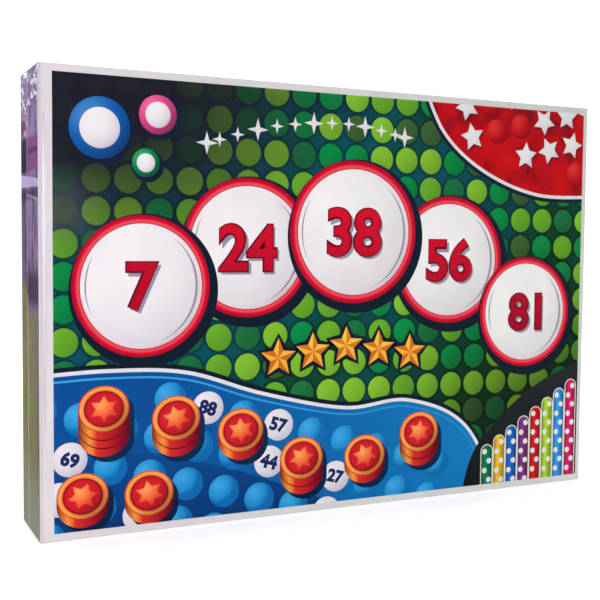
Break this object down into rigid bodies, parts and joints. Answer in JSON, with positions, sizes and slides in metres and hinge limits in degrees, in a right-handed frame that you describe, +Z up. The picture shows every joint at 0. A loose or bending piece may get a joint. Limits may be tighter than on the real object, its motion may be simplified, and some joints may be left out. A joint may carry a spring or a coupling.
{
  "type": "boxed bingo game",
  "caption": "Boxed bingo game with a lift-off lid, number cards, red number discs in a formed tray and a draw bag.",
  "frame": {"origin": "on the floor, under the middle of the closed box, which stands on its long edge", "axes": "+X along the width, +Y from the lid's printed top towards the base's floor, +Z up"},
  "size_m": [0.375, 0.053, 0.26],
  "materials": {
    "greyboard": "matte",
    "printed_wrap": "gloss",
    "base_paper": "satin",
    "stay_paper": "matte",
    "shrink_film": "gloss",
    "white_plastic": "satin",
    "leaflet_paper": "matte",
    "cotton": "matte",
    "red_plastic": "gloss",
    "card_blue": "satin",
    "card_red": "satin",
    "card_green": "satin",
    "card_yellow": "satin",
    "card_purple": "satin",
    "card_lime": "satin",
    "card_sky": "satin",
    "card_magenta": "satin"
  },
  "bodies": {
    "box": {"base_board": "greyboard", "base_wrap": "base_paper", "base_corner_stays": "stay_paper", "film_back": "shrink_film", "insert_tray": "white_plastic", "rules_leaflet": "leaflet_paper", "draw_bag": "cotton", "card_01": "card_blue", "card_02": "card_red", "card_03": "card_green", "card_04": "card_yellow", "card_05": "card_purple", "card_06": "card_lime", "card_07": "card_sky", "card_08": "card_magenta", "card_09": "card_blue", "card_10": "card_red", "card_11": "card_green", "card_12": "card_yellow", "card_13": "card_purple", "card_14": "card_lime", "card_15": "card_sky", "card_16": "card_magenta", "discs_01_to_10": "red_plastic", "discs_11_to_20": "red_plastic", "discs_21_to_30": "red_plastic", "discs_31_to_40": "red_plastic", "discs_41_to_50": "red_plastic", "discs_51_to_60": "red_plastic", "discs_61_to_70": "red_plastic", "discs_71_to_80": "red_plastic", "discs_81_to_90": "red_plastic"},
    "lid": {"lid_board": "greyboard", "lid_wrap": "printed_wrap", "lid_corner_stays": "stay_paper", "film_front": "shrink_film"}
  },
  "joints": [
    {"name": "lid_lift", "type": "slide", "parent": "box", "child": "lid", "axis": [0, -1, 0], "range_m": [0, 0.3]}
  ]
}
